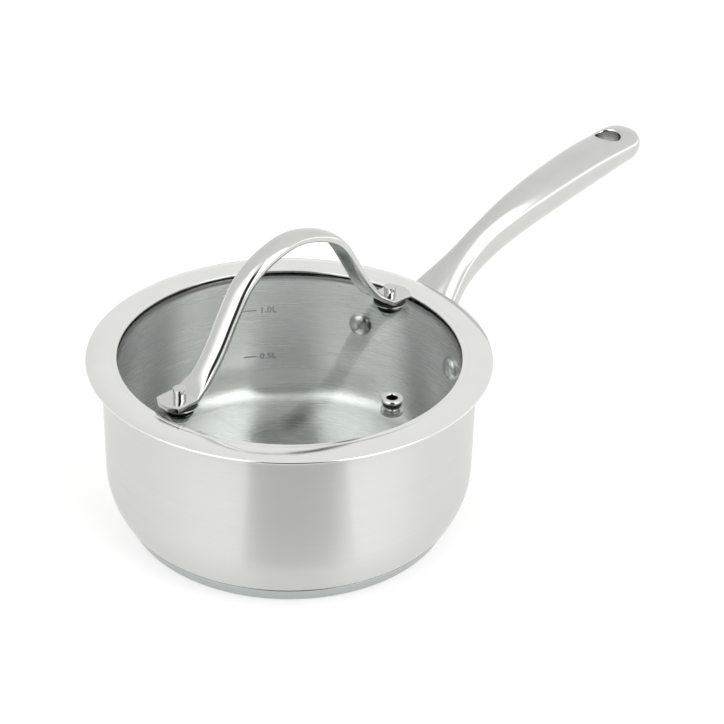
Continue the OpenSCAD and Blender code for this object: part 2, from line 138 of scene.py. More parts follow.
# A grey flag lies on the table before the pan, seen only in its reflections.
FLAG_REACH = (0.115, 1.2)
FLAG_LIFT = 0.0005
flag_cloth = bpy.data.materials.new("grey_flag_cloth")
flag_cloth.use_nodes = True
flag_cloth.node_tree.nodes.clear()
cloth = add(flag_cloth.node_tree, "ShaderNodeEmission", {"Color": colour("#FFFFFF"), "Strength": 0.8})
add(flag_cloth.node_tree, "ShaderNodeOutputMaterial", {"Surface": cloth.outputs[0]})
bm = bmesh.new()
start = math.radians(OPENING_AZIMUTH - OPENING_HALF_WIDTH)
flag_side = [bm.verts.new((r * math.cos(start), r * math.sin(start), FLAG_LIFT)) for r in FLAG_REACH]
flag_side.append(bm.edges.new(flag_side))
bmesh.ops.spin(bm, geom=flag_side, cent=(0, 0, 0), axis=(0, 0, 1),
               angle=math.radians(2 * OPENING_HALF_WIDTH), steps=24)
flag = bpy.data.meshes.new("flag")
bm.to_mesh(flag)
bm.free()
flag.materials.append(flag_cloth)
flag = bpy.data.objects.new("flag", flag)
bpy.context.collection.objects.link(flag)
flag.visible_camera = False
flag.visible_diffuse = False
flag.visible_shadow = False
flag.visible_transmission = False


# --- Vessel -------------------------------------------------------------------------------
# The pan's bowl is deep drawn from 0.8 mm stainless sheet, spun smooth, brushed round the wall
# and the floor, with its rim flared out for pouring. Two rivets hold the handle to it.
MM = 0.001
wall_r = 80.5
wall_t = 0.8
curve_r = 35
curve_z = 26.7
floor_top = 6.6
rim_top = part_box("vessel")[1].z / MM
rim_flare = 3.6
rim_flare_h = 5


def arc(x, z, r, start, end, steps=24):
    turns = [math.radians(start + (end - start) * i / steps) for i in range(steps + 1)]
    return [(x + r * math.cos(turn), z + r * math.sin(turn)) for turn in turns]


def bezier(a, b, c, d, steps=20):
    turns = [i / steps for i in range(steps + 1)]
    return [tuple(a[k] * (1 - t) ** 3 + 3 * b[k] * t * (1 - t) ** 2 + 3 * c[k] * t * t * (1 - t)
                  + d[k] * t ** 3 for k in (0, 1)) for t in turns]


def spun(outline, steps=160, closed=True):
    """A body of revolution about Z from an outline of (radius, height) points in mm."""
    shape = bmesh.new()
    dots = [shape.verts.new((r * MM, 0, z * MM)) for r, z in outline]
    for a, b in zip(dots, dots[1:] + dots[:1] if closed else dots[1:]):
        shape.edges.new((a, b))
    bmesh.ops.spin(shape, geom=shape.verts[:] + shape.edges[:], cent=(0, 0, 0), axis=(0, 0, 1),
                   angle=math.tau, steps=steps, use_merge=True)
    bmesh.ops.remove_doubles(shape, verts=shape.verts, dist=1e-7)
    bmesh.ops.dissolve_degenerate(shape, edges=shape.edges, dist=1e-8)
    bmesh.ops.delete(shape, geom=[e for e in shape.edges if e.is_wire], context="EDGES")
    bmesh.ops.recalc_face_normals(shape, faces=shape.faces)
    return shape


def soften(shape, width, sharp=35, segments=3):
    """Rounds every edge that turns by more than sharp degrees."""
    edges = [e for e in shape.edges if e.is_manifold and e.calc_face_angle(0) > math.radians(sharp)]
    bmesh.ops.bevel(shape, geom=edges, offset=width * MM, segments=segments, profile=0.5,
                    affect="EDGES", material=-1, clamp_overlap=True)
    return shape


def piece(name, shape, material, body, stands_for=()):
    """Makes the finished object, parents it to its body's empty and hides the parts that it stands for."""
    mesh = bpy.data.meshes.new(name)
    shape.to_mesh(mesh)
    shape.free()
    mesh.materials.append(material)
    mesh.shade_smooth()
    mesh.set_sharp_from_angle(angle=math.radians(40))
    made = bpy.data.objects.new(name, mesh)
    bpy.context.collection.objects.link(made)
    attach(made, body)
    if stands_for:
        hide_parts(*stands_for)
    return made


def blended(tree, share, first, second):
    """The colour output of a mix of two colours, each a value or another node's output."""
    mix = add(tree, "ShaderNodeMix", {0: share}, data_type="RGBA")
    for socket, value in zip([s for s in mix.inputs if s.type == "RGBA"], (first, second)):
        if isinstance(value, bpy.types.NodeSocket):
            tree.links.new(value, socket)
        else:
            socket.default_value = value
    return [s for s in mix.outputs if s.type == "RGBA"][0]


def brushed(name, light, dark, rough, anisotropy, line_mm, line_l_mm, depth):
    """Stainless steel brushed round the axis: fine lines that run round the wall and the floor."""
    made = bpy.data.materials.new(name)
    made.use_nodes = True
    tree = made.node_tree
    place = add(tree, "ShaderNodeTexCoord").outputs["Object"]
    xyz = add(tree, "ShaderNodeSeparateXYZ", {0: place})
    flat = add(tree, "ShaderNodeCombineXYZ", {"X": xyz.outputs["X"], "Y": xyz.outputs["Y"]}).outputs[0]
    radius = add(tree, "ShaderNodeVectorMath", {0: flat}, operation="LENGTH").outputs["Value"]
    across = add(tree, "ShaderNodeMath", {0: radius, 1: xyz.outputs["Z"]}, operation="ADD").outputs[0]
    line = add(tree, "ShaderNodeCombineXYZ", {"X": xyz.outputs["X"], "Y": xyz.outputs["Y"],
                                              "Z": across}).outputs[0]
    line = add(tree, "ShaderNodeVectorMath", {0: line, 1: (1 / (line_l_mm * MM), 1 / (line_l_mm * MM),
                                                           1 / (line_mm * MM))},
               operation="MULTIPLY").outputs[0]
    grain = add(tree, "ShaderNodeTexNoise", {"Vector": line, "Scale": 1.0, "Detail": 3.0,
                                             "Roughness": 0.65}).outputs["Fac"]
    skin = tree.nodes["Principled BSDF"]
    tree.links.new(blended(tree, grain, colour(dark), colour(light)), skin.inputs["Base Color"])
    gloss = add(tree, "ShaderNodeMapRange", {
        "Value": grain, "From Min": 0.25, "From Max": 0.75, "To Min": rough + depth,
        "To Max": rough - depth}).outputs[0]
    tree.links.new(gloss, skin.inputs["Roughness"])
    relief = add(tree, "ShaderNodeBump", {"Height": grain, "Strength": depth, "Distance": 0.02 * MM})
    tree.links.new(relief.outputs[0], skin.inputs["Normal"])
    skin.inputs["Metallic"].default_value = 1
    skin.inputs["Anisotropic"].default_value = anisotropy
    skin.inputs["Anisotropic Rotation"].default_value = 0.25
    around = add(tree, "ShaderNodeTangent", direction_type="RADIAL", axis="Z")
    tree.links.new(around.outputs[0], skin.inputs["Tangent"])
    return made


def rim_line(inset):
    bend = math.radians(70)
    steps = [bend * i / 14 for i in range(1, 15)]
    return [(wall_r - inset + rim_flare * (1 - math.cos(a)) / (1 - math.cos(bend)),
             rim_top - rim_flare_h * (1 - math.sin(a) / math.sin(bend))) for a in steps]


# Brushed 18/10 stainless steel: a satin that spreads reflections up and down the wall. The
# real lines are about 0.1 mm apart and are drawn at 0.45 mm so that they show.
bowl_steel = brushed("brushed_stainless_wall", "#D4D4D2", "#CBCCCB", 0.31, 0.95, 0.45, 60, 0.03)
# The inside is the same sheet and steel as the wall, given a lighter colour: painted light that brightens the
# inside of the pan seen through the glass.
lightened_inside_steel = brushed("brushed_stainless_inside_painted_lighter", "#E6E6E4", "#DCDDDC", 0.26, 0.95, 0.45, 90, 0.03)
curve_end = math.degrees(math.asin(18.3 / curve_r))
outer = ([(0, floor_top - wall_t), (72.4, floor_top - wall_t)]
         + arc(wall_r - curve_r, curve_z, curve_r, -curve_end, 0, 30)
         + [(wall_r, 50), (wall_r, rim_top - rim_flare_h)] + rim_line(0))
inner = ([(0, floor_top), (30, floor_top)]
         + bezier((58, floor_top), (70, floor_top), (75.2, 8.4), (77.64, 15.0))
         + arc(wall_r - curve_r, curve_z, curve_r - wall_t, -18, 0, 16)
         + [(wall_r - wall_t, 50), (wall_r - wall_t, rim_top - rim_flare_h)] + rim_line(wall_t))
bowl = soften(spun(outer + inner[::-1], 240), 0.25, 50)
# Faces that look inwards, and the floor's top, take the lighter inside copy, whose extra brightness is
# painted light.
for face in bowl.faces:
    outward = Vector((*face.calc_center_median().xy, 0))
    face.material_index = int(face.normal.dot(outward) < -1e-4 or face.normal.z > 0.9)
bowl = piece("bowl", bowl, bowl_steel, "pan", ["vessel"])
bowl.data.materials.append(lightened_inside_steel)

# --- Volume marks -------------------------------------------------------------------------
# A short line and a figure for each half litre, etched dark into the wall's inside by current
# through a stencil. They have no depth that a finger can feel.
MARK_R = wall_r - wall_t - 0.06
MARK_HEIGHTS = {"0.5L": 29.0, "1.0L": 53.5}


FIGURE_AZIMUTH = 55.4
STROKE_AZIMUTH = 58.9
FIGURE_SIZE = 4.3
STROKE_L = 6.0
STROKE_T = 0.55


def etched_wrap(shape, azimuth, z):
    """Bends flat lettering in mm onto the inside of the wall, reading from inside the pan."""
    for v in shape.verts:
        turn = math.radians(azimuth) - v.co.x / MARK_R
        v.co = Vector((MARK_R * math.cos(turn), MARK_R * math.sin(turn), z + v.co.y)) * MM
    return shape


etch = bpy.data.materials.new("etched_oxide_mark")
etch.use_nodes = True
tree = etch.node_tree
# Electro-etched oxide on stainless steel: matt dark grey, a little uneven where the stencil lifts.
blotch = add(tree, "ShaderNodeTexNoise", {"Vector": add(tree, "ShaderNodeTexCoord").outputs["Object"],
                                          "Scale": 1 / (0.6 * MM), "Detail": 2.0}).outputs["Fac"]
shades = add(tree, "ShaderNodeValToRGB", {"Fac": blotch})
shades.color_ramp.elements[0].color = colour("#1C1E1E")
shades.color_ramp.elements[1].color = colour("#2E3030")
skin = tree.nodes["Principled BSDF"]
tree.links.new(shades.outputs[0], skin.inputs["Base Color"])
skin.inputs["Roughness"].default_value = 0.7
skin.inputs["Specular IOR Level"].default_value = 0.1

marks = bmesh.new()
for text, z in MARK_HEIGHTS.items():
    curve = bpy.data.curves.new("figures", "FONT")
    curve.body = text
    curve.size = FIGURE_SIZE
    curve.space_character = 1.08
    curve.offset = 0.07
    letters = bpy.data.objects.new("figures", curve)
    bpy.context.collection.objects.link(letters)
    flat = bpy.data.meshes.new_from_object(letters.evaluated_get(bpy.context.evaluated_depsgraph_get()))
    bpy.data.objects.remove(letters)
    part = bmesh.new()
    part.from_mesh(flat)
    bmesh.ops.subdivide_edges(part, edges=part.edges, cuts=1)
    etched_wrap(part, FIGURE_AZIMUTH, z - 1.5)
    flat.clear_geometry()
    part.to_mesh(flat)
    marks.from_mesh(flat)
    part.free()
    stroke = bmesh.new()
    bmesh.ops.create_grid(stroke, x_segments=8, y_segments=1, size=0.5)
    for v in stroke.verts:
        v.co = Vector((v.co.x * STROKE_L, v.co.y * STROKE_T, 0))
    etched_wrap(stroke, STROKE_AZIMUTH, z)
    flat.clear_geometry()
    stroke.to_mesh(flat)
    marks.from_mesh(flat)
    stroke.free()
piece("volume_marks", marks, etch, "pan")

# --- Base ---------------------------------------------------------------------------------
# A disc of aluminium is pressed under the bowl and sealed by a drawn steel cap, brazed to the
# bowl all round. A thin dark band is painted at the top of the cap: painted shade in the groove where it
# meets the bowl.
cap_side = 75.1
cap_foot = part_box("base_cap")[1].x / MM - 3.06
cap_edge = 2.6
JOINT_SHADE_LOW = 7.55
JOINT_SHADE_HIGH = 7.8
cap_outline = ([(0, 0)] + arc(cap_foot - cap_edge, cap_edge, cap_edge, -90, -10, 16)
               + [(cap_side - 0.15, 7.6), (cap_side - 0.8, 7.9), (cap_side - 0.8, 8.35), (72.2, 5.8),
                  (70, 5.8), (70, 0.8), (0, 0.8)])
# Satin stainless steel under the pan, a little duller than the wall, with painted shade darkening the groove
# at its top.
cap_steel = brushed("satin_stainless_base", "#BCBEBE", "#B0B3B3", 0.32, 0.7, 0.5, 50, 0.05)
tree = cap_steel.node_tree
skin = tree.nodes["Principled BSDF"]
place = tree.nodes["Texture Coordinate"].outputs["Object"]
up = add(tree, "ShaderNodeSeparateXYZ", {0: place}).outputs["Z"]
painted_joint_shade = add(tree, "ShaderNodeMapRange", {"Value": up, "From Min": JOINT_SHADE_LOW * MM,
                                         "From Max": JOINT_SHADE_HIGH * MM}).outputs[0]
clean = skin.inputs["Base Color"].links[0].from_socket
# Painted shade: a dark blue-grey colour where the groove at the top of the cap meets the bowl.
tree.links.new(blended(tree, painted_joint_shade, clean, colour("#3A4648")), skin.inputs["Base Color"])
piece("base_shell", soften(spun(cap_outline, 200), 0.2, 50), cap_steel, "pan",
      ["base_cap"])

# The aluminium disc is wholly inside. Cast aluminium: pale, matt and slightly mottled.
disc_metal = bpy.data.materials.new("pressed_aluminium_core")
disc_metal.use_nodes = True
tree = disc_metal.node_tree
mottle = add(tree, "ShaderNodeTexNoise", {"Vector": add(tree, "ShaderNodeTexCoord").outputs["Object"],
                                          "Scale": 1 / (4 * MM), "Detail": 4.0}).outputs["Fac"]
shades = add(tree, "ShaderNodeValToRGB", {"Fac": mottle})
shades.color_ramp.elements[0].color = colour("#B4B6B8")
shades.color_ramp.elements[1].color = colour("#CBCCCE")
skin = tree.nodes["Principled BSDF"]
tree.links.new(shades.outputs[0], skin.inputs["Base Color"])
skin.inputs["Metallic"].default_value = 1
skin.inputs["Roughness"].default_value = 0.45
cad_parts["base_core"].data.materials[0] = disc_metal


# --- Long handle --------------------------------------------------------------------------
# Two pressed steel shells are welded along a seam at mid height and ground, then soft polished.
# The handle rises from its bracket in a long curve, narrow at the neck and wider at the grip.
bracket_r = 83
handle_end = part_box("handle_upper_shell")[1].x / MM
# Each station: distance along, seam height, half width, depth above, depth below, in mm.
STATIONS = [(80.0, 57.0, 17.5, 12.0, 12.0), (92.5, 66.5, 13.4, 11.5, 10.5),
            (110.1, 77.5, 8.2, 10.5, 9.5), (126.0, 85.5, 7.3, 10.5, 9.5),
            (146.8, 92.2, 8.6, 11.0, 9.5), (172.3, 97.4, 10.1, 11.5, 9.5),
            (201.1, 102.0, 11.0, 11.0, 9.5), (226.6, 104.9, 11.3, 9.2, 8.5),
            (242.5, 106.0, 11.3, 8.2, 7.5)]
TIP_L = 11
TIP_ROWS = 12
SHELL_ROWS = 110
SHELL_COLUMNS = 40
SHELL_T = 1.0


def handle_at(x, k):
    """Reads column k of the stations at x, on one smooth curve through them."""
    i = max(0, min(len(STATIONS) - 2, sum(1 for s in STATIONS if s[0] <= x) - 1))
    a, b = STATIONS[i], STATIONS[i + 1]

    def steep(j):
        p, q = STATIONS[max(0, j - 1)], STATIONS[min(len(STATIONS) - 1, j + 1)]
        return (q[k] - p[k]) / (q[0] - p[0])

    h = b[0] - a[0]
    u = (x - a[0]) / h
    return (a[k] * (2 * u ** 3 - 3 * u * u + 1) + steep(i) * h * (u ** 3 - 2 * u * u + u)
            + b[k] * (3 * u * u - 2 * u ** 3) + steep(i + 1) * h * (u ** 3 - u * u))


def tip_close(x):
    return math.sqrt(max(0.0, 1 - (max(0.0, x - (handle_end - TIP_L)) / TIP_L) ** 2))


def lofted(rows, columns, place):
    """A grid whose every point is put in place by its row and column, with its doubles merged."""
    shape = bmesh.new()
    bmesh.ops.create_grid(shape, x_segments=rows, y_segments=columns, size=0.5)
    for v in shape.verts:
        v.co = Vector(place(round((v.co.x + 0.5) * rows), round((v.co.y + 0.5) * columns))) * MM
    bmesh.ops.remove_doubles(shape, verts=shape.verts, dist=1e-6)
    bmesh.ops.recalc_face_normals(shape, faces=shape.faces)
    return shape


def shell_place(up, inset, rows, columns):
    def place(i, j):
        straight = rows - TIP_ROWS
        x = bracket_r + (handle_end - TIP_L - bracket_r) * i / straight
        if i > straight:
            turn = math.radians(90 * (i - straight) / TIP_ROWS)
            x = handle_end - TIP_L + (TIP_L - inset) * math.sin(turn)
        close = 0 if i == rows else tip_close(min(x + inset, handle_end))
        a = math.pi * j / columns
        power = 2 / 2.4 if up > 0 else 2 / 2.2
        half = (handle_at(x, 2) - inset) * close
        y = -half * math.copysign(abs(math.cos(a)) ** power, math.cos(a))
        near = max(0.0, 1 - (x - bracket_r) / 20)
        x -= (bracket_r - math.sqrt(bracket_r ** 2 - y * y)) * near
        low = 0.25 if up > 0 else 0.3
        deep = (handle_at(x, 3 if up > 0 else 4) - inset) * (low + (1 - low) * close)
        return x, y, handle_at(x, 1) + up * deep * max(0.0, math.sin(a)) ** power
    return place


def hole_cutter(radius):
    """A round bar through the grip where the hanging hole is, square to the slope there."""
    bar = bmesh.new()
    bmesh.ops.create_cone(bar, cap_ends=True, segments=96, radius1=radius * MM, radius2=radius * MM,
                          depth=60 * MM)
    bmesh.ops.rotate(bar, verts=bar.verts, matrix=Matrix.Rotation(hang_tilt, 3, "Y"))
    bmesh.ops.translate(bar, verts=bar.verts, vec=Vector((hang_x, 0, handle_at(hang_x, 1))) * MM)
    return bar


def bored(shape, radius):
    """The same shape with the hanging hole cut through it."""
    things = []
    for source in (shape, hole_cutter(radius)):
        mesh = bpy.data.meshes.new("part")
        source.to_mesh(mesh)
        source.free()
        thing = bpy.data.objects.new("part", mesh)
        bpy.context.collection.objects.link(thing)
        things.append(thing)
    cut = things[0].modifiers.new("hole", "BOOLEAN")
    cut.object = things[1]
    cut.operation = "DIFFERENCE"
    cut.solver = "EXACT"
    depsgraph = bpy.context.evaluated_depsgraph_get()
    done = bpy.data.meshes.new_from_object(things[0].evaluated_get(depsgraph))
    for thing in things:
        bpy.data.objects.remove(thing)
    result = bmesh.new()
    result.from_mesh(done)
    return result


def polished(name, light, dark, rough, cloud_mm):
    """Polished stainless steel: a clean reflection with a faint cloudiness left by the buffing mop."""
    made = bpy.data.materials.new(name)
    made.use_nodes = True
    tree = made.node_tree
    place = add(tree, "ShaderNodeTexCoord").outputs["Object"]
    cloud = add(tree, "ShaderNodeTexNoise", {"Vector": place, "Scale": 1 / (cloud_mm * MM),
                                             "Detail": 3.0}).outputs["Fac"]
    shades = add(tree, "ShaderNodeValToRGB", {"Fac": cloud})
    shades.color_ramp.elements[0].position = 0.3
    shades.color_ramp.elements[0].color = colour(dark)
    shades.color_ramp.elements[1].position = 0.7
    shades.color_ramp.elements[1].color = colour(light)
    gloss = add(tree, "ShaderNodeMapRange", {"Value": cloud, "From Min": 0.3, "From Max": 0.7,
                                             "To Min": rough * 1.15, "To Max": rough * 0.85}).outputs[0]
    skin = tree.nodes["Principled BSDF"]
    tree.links.new(shades.outputs[0], skin.inputs["Base Color"])
    tree.links.new(gloss, skin.inputs["Roughness"])
    skin.inputs["Metallic"].default_value = 1
    return made


hang_x = handle_end - 19.5
hang_tilt = -math.atan((STATIONS[8][1] - STATIONS[6][1]) / (STATIONS[8][0] - STATIONS[6][0]))
HOLE_R = 6.2
ROLL_R = 1.5
# Soft polished 18/0 stainless steel: bright and even, with reflections blurred to broad bands.
grip_steel = polished("soft_polished_stainless", "#C9C9C7", "#C5C5C3", 0.15, 14)
for name, up, inset, node in (("handle_top", 1, 0, "handle_upper_shell"),
                              ("handle_underside", -1, 0.3, "handle_lower_shell")):
    shell = lofted(SHELL_ROWS, SHELL_COLUMNS, shell_place(up, inset, SHELL_ROWS, SHELL_COLUMNS))
    if sum(f.normal.z * f.calc_area() for f in shell.faces) * up < 0:
        bmesh.ops.reverse_faces(shell, faces=shell.faces)
    bmesh.ops.solidify(shell, geom=shell.faces[:], thickness=SHELL_T * MM)
    shell = bored(shell, HOLE_R + ROLL_R)
    piece(name, shell, grip_steel, "pan", [node])

# --- Hanging hole -------------------------------------------------------------------------
# The shells' edges are rolled into a short tube and welded, so the hole has a smooth round lip
# that follows the crown of the grip.
lip = [(HOLE_R + ROLL_R - ROLL_R * math.sin(math.radians(10 * i)),
        ROLL_R * (math.cos(math.radians(10 * i)) - 1)) for i in range(10)]
tube = bmesh.new()
# A share near 1 is the upper lip and near 0 the lower one; hundredths off those carry the lip's drop.
lip_rows = ([(r, 1 + drop / 100) for r, drop in lip] + [(HOLE_R, 0.5)]
            + [(r, -drop / 100) for r, drop in lip[::-1]])
dots = [tube.verts.new((r, 0, share)) for r, share in lip_rows]
for a, b in zip(dots, dots[1:]):
    tube.edges.new((a, b))
bmesh.ops.spin(tube, geom=tube.verts[:] + tube.edges[:], cent=(0, 0, 0), axis=(0, 0, 1),
               angle=math.tau, steps=96, use_merge=True)
bmesh.ops.remove_doubles(tube, verts=tube.verts, dist=1e-6)


def grip_surface(x, y, up):
    """Height of the grip's outer face at (x, y), of the upper shell or the lower one."""
    half = handle_at(x, 2) * tip_close(x) - (0 if up > 0 else 0.3)
    power = 2.4 if up > 0 else 2.2
    low = 0.25 if up > 0 else 0.3
    deep = (handle_at(x, 3 if up > 0 else 4) - (0 if up > 0 else 0.3)) * (low + (1 - low) * tip_close(x))
    return handle_at(x, 1) + up * deep * max(0.0, 1 - abs(y / half) ** power) ** (1 / power)


for v in tube.verts:
    share = v.co.z
    offset = 100 * (share - 1) if share > 0.9 else (-100 * share if share < 0.1 else 0)
    up = 1 if share > 0.5 else -1
    x0, y = hang_x + v.co.x, v.co.y
    x = x0
    for _ in range(3):
        top = grip_surface(x, y, 1)
        low = grip_surface(x, y, -1)
        z = top + offset if share > 0.9 else (low - offset if share < 0.1 else (top + low) / 2)
        x = x0 + math.tan(hang_tilt) * (z - handle_at(hang_x, 1))
    v.co = Vector((x, y, z)) * MM
bmesh.ops.recalc_face_normals(tube, faces=tube.faces)
inward = sum((f.normal.x * (f.calc_center_median().x - hang_x * MM)
              + f.normal.y * f.calc_center_median().y) * f.calc_area() for f in tube.faces)
if inward > 0:
    bmesh.ops.reverse_faces(tube, faces=tube.faces)
piece("hanging_hole_lip", tube, grip_steel, "pan", ["hanging_liner"])

# --- Bracket ------------------------------------------------------------------------------
# A fishtail plate pressed from 2.5 mm steel follows the wall and carries the welded handle.
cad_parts["handle_bracket"].data.materials[0] = grip_steel

# --- Handle rivets ------------------------------------------------------------------------
# Two solid stainless rivets are set cold through the wall and the bracket: a low polished dome
# inside the pan and a flat upset end behind the bracket.
rivet_turn = 29 / wall_r
RIVET_Z = 49.4
HEAD_R = 5.5
HEAD_H = 2.86
# Bright polished stainless steel: near mirror, so it takes hard dark and white reflections.
bright = polished("mirror_polished_stainless", "#CCCCCA", "#C6C6C4", 0.05, 9)
HEAD_EDGE = 0.35
dome = [(HEAD_R * math.sin(turn) ** 0.9, HEAD_EDGE + (HEAD_H - HEAD_EDGE) * math.cos(turn))
        for turn in [math.radians(9 * i) for i in range(11)]]
rivet_outline = dome + [(HEAD_R, 0), (3, 0), (3, -4.0), (4.5, -4.0), (4.5, -4.6), (0, -4.6)]
for name, s in (("rivet_at_left", 1), ("rivet_at_right", -1)):
    shape = soften(spun(rivet_outline, 64), 0.2, 50, 2)
    bmesh.ops.transform(shape, verts=shape.verts, matrix=Matrix.Rotation(s * rivet_turn, 4, "Z")
                        @ Matrix.Translation(Vector((wall_r - wall_t, 0, RIVET_Z)) * MM)
                        @ Matrix.Rotation(-math.pi / 2, 4, "Y"))
    piece(name, shape, bright, "pan", ["rivet_left" if s > 0 else "rivet_right"])

# --- Lid glass ----------------------------------------------------------------------------
# Toughened soda-lime glass 4 mm thick, sagged to a low dome and ground at its edge. The strap's posts
# and the vent pass through it, but the pane is drawn whole, without their holes.
GLASS_R = 76.9
GLASS_T = 4
GLASS_EDGE = 73.5
GLASS_RISE = 4.6
dome_r = (GLASS_R ** 2 + GLASS_RISE ** 2) / 2 / GLASS_RISE


def glass_top(x):
    return GLASS_EDGE + GLASS_T + GLASS_RISE - dome_r + math.sqrt(dome_r ** 2 - x * x)


steps = [(GLASS_R - 1) * i / 40 for i in range(41)]
glass_outline = ([(x, glass_top(x) - GLASS_T) for x in steps] + [(GLASS_R, GLASS_EDGE + 0.8)]
                 + [(GLASS_R, GLASS_EDGE + GLASS_T - 0.8)] + [(x, glass_top(x)) for x in steps[::-1]])
toughened = bpy.data.materials.new("toughened_soda_lime_glass")
toughened.use_nodes = True
tree = toughened.node_tree
# Soda-lime glass: clear with a faint grey green from its iron, and a hard clean surface.
iron = add(tree, "ShaderNodeTexNoise", {"Vector": add(tree, "ShaderNodeTexCoord").outputs["Object"],
                                        "Scale": 1 / (60 * MM), "Detail": 1.0}).outputs["Fac"]
shades = add(tree, "ShaderNodeValToRGB", {"Fac": iron})
shades.color_ramp.elements[0].color = colour("#F0F4F2")
shades.color_ramp.elements[1].color = colour("#F3F6F5")
skin = tree.nodes["Principled BSDF"]
tree.links.new(shades.outputs[0], skin.inputs["Base Color"])
skin.inputs["Roughness"].default_value = 0.0
skin.inputs["IOR"].default_value = 1.52
skin.inputs["Transmission Weight"].default_value = 1
piece("lid_pane", spun(glass_outline, 200), toughened, "lid", ["lid_glass"])

# --- Lid band -----------------------------------------------------------------------------
# A ring of 0.6 mm steel is rolled round the glass: a broad flat flange with a tight rolled edge
# outside, and a channel below that holds the glass and drops inside the rim.
BAND_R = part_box("lid_band")[1].x / MM
BAND_IN = 73.8
BAND_T = 0.6
FLANGE_Z = 78.0
FLANGE_TOP = 79.2
CHANNEL_R = 78.6
CROWN = 0.55
shoulder = BAND_R - 4
seal_low = GLASS_EDGE - 1.1 - BAND_T
GROOVE_R = BAND_IN + 2.4
GROOVE_DEPTH = 0.16
GROOVE_SPREAD = 0.45


def flange_height(x):
    share = (x - BAND_IN - BAND_T / 2) / (shoulder - BAND_IN - BAND_T / 2)
    dip = GROOVE_DEPTH * math.exp(-((x - GROOVE_R) / GROOVE_SPREAD) ** 2)
    return FLANGE_TOP + CROWN * math.sin(math.radians(110 * share)) - dip


# The lip turns down round the glass and stops just above it.
LIP_LOW = FLANGE_TOP - 1.0
band_top = (arc(BAND_IN + BAND_T / 2, LIP_LOW + BAND_T / 2, BAND_T / 2, 0, -180, 8)
            + arc(BAND_IN + BAND_T / 2, FLANGE_TOP - BAND_T / 2, BAND_T / 2, -180, -260, 6)
            + [(x, flange_height(x)) for x in
               [BAND_IN + BAND_T / 2 + (shoulder - BAND_IN - BAND_T / 2) * i / 48 for i in range(1, 49)]]
            + arc(BAND_R - BAND_T, FLANGE_Z + BAND_T, BAND_T, 60, -90, 14))
band_outline = band_top + [(CHANNEL_R, FLANGE_Z), (CHANNEL_R, seal_low), (GLASS_R - 3, seal_low),
                           (GLASS_R - 3, seal_low + BAND_T),
                           (CHANNEL_R - BAND_T, seal_low + BAND_T),
                           (CHANNEL_R - BAND_T, FLANGE_TOP - BAND_T),
                           (BAND_IN + BAND_T, FLANGE_TOP - BAND_T)]
# Fine polished stainless steel: rolled and buffed, so it shows soft edged reflections.
band_steel = polished("fine_polished_stainless_band", "#E0E0DE", "#DDDDDB", 0.12, 16)
piece("lid_ring", soften(spun(band_outline, 240), 0.12, 60, 2), band_steel, "lid",
      ["lid_band"])

# --- Lid seal -----------------------------------------------------------------------------
# A black silicone strip wraps the edge of the glass inside the band's channel.
silicone = bpy.data.materials.new("moulded_black_silicone")
silicone.use_nodes = True
tree = silicone.node_tree
# Moulded silicone: near black, soft sheen, with a fine matt grain from the mould.
grain = add(tree, "ShaderNodeTexNoise", {"Vector": add(tree, "ShaderNodeTexCoord").outputs["Object"],
                                         "Scale": 1 / (0.5 * MM), "Detail": 3.0}).outputs["Fac"]
shades = add(tree, "ShaderNodeValToRGB", {"Fac": grain})
shades.color_ramp.elements[0].color = colour("#141515")
shades.color_ramp.elements[1].color = colour("#232424")
skin = tree.nodes["Principled BSDF"]
tree.links.new(shades.outputs[0], skin.inputs["Base Color"])
tree.links.new(add(tree, "ShaderNodeBump", {"Height": grain, "Strength": 0.2,
                                            "Distance": 0.05 * MM}).outputs[0], skin.inputs["Normal"])
skin.inputs["Roughness"].default_value = 0.5
skin.inputs["IOR"].default_value = 1.43
seal_in = BAND_IN + BAND_T + 0.03
seal_high = FLANGE_TOP - BAND_T - 0.02
seal_outline = [(GLASS_R - 2.9, GLASS_EDGE - 1.05), (CHANNEL_R - BAND_T, GLASS_EDGE - 1.05),
                (CHANNEL_R - BAND_T, seal_high), (seal_in, seal_high),
                (seal_in, glass_top(seal_in) + 0.02), (GLASS_R, GLASS_EDGE + GLASS_T),
                (GLASS_R + 0.02, GLASS_EDGE), (GLASS_R - 2.9, GLASS_EDGE + 0.02)]
piece("glass_seal", soften(spun(seal_outline, 200), 0.2, 50, 2), silicone, "lid",
      ["lid_seal"])

# --- Strap handle -------------------------------------------------------------------------
# A bar of steel rolled to a crowned section, bent into an arch with flattened feet, and mirror
# polished. Each foot is bolted through the glass.
POST_X = 63
WASHER_T = 1
FOOT_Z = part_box("foot_washer_back")[1].z / MM
RING_Z = FOOT_Z - WASHER_T
FOOT_T = 2.3
FOOT_R = 9.4
STRAP_END = POST_X + FOOT_R + 0.2
STRAP_RISE = 50
ARCH = [(0, 1), (0.16, 0.967), (0.32, 0.884), (0.445, 0.754), (0.555, 0.547), (0.667, 0.315),
        (0.778, 0.138), (0.889, 0.036), (0.945, 0)]


def smooth(u):
    u = max(0.0, min(1.0, u))
    return u * u * (3 - 2 * u)


def arch_share(v):
    k = max(0, min(len(ARCH) - 2, sum(1 for p in ARCH if p[0] <= v) - 1))
    a, b = ARCH[k], ARCH[k + 1]

    def steep(j):
        if j in (0, len(ARCH) - 1):
            return 0
        return (ARCH[j + 1][1] - ARCH[j - 1][1]) / (ARCH[j + 1][0] - ARCH[j - 1][0])

    h = b[0] - a[0]
    u = min(1.0, (v - a[0]) / h)
    return (a[1] * (2 * u ** 3 - 3 * u * u + 1) + steep(k) * h * (u ** 3 - 2 * u * u + u)
            + b[1] * (3 * u * u - 2 * u ** 3) + steep(k + 1) * h * (u ** 3 - u * u))


def arch(u):
    x = -STRAP_END + 2 * STRAP_END * u
    return Vector((x, 0, FOOT_Z + STRAP_RISE * arch_share(abs(x) / POST_X)))


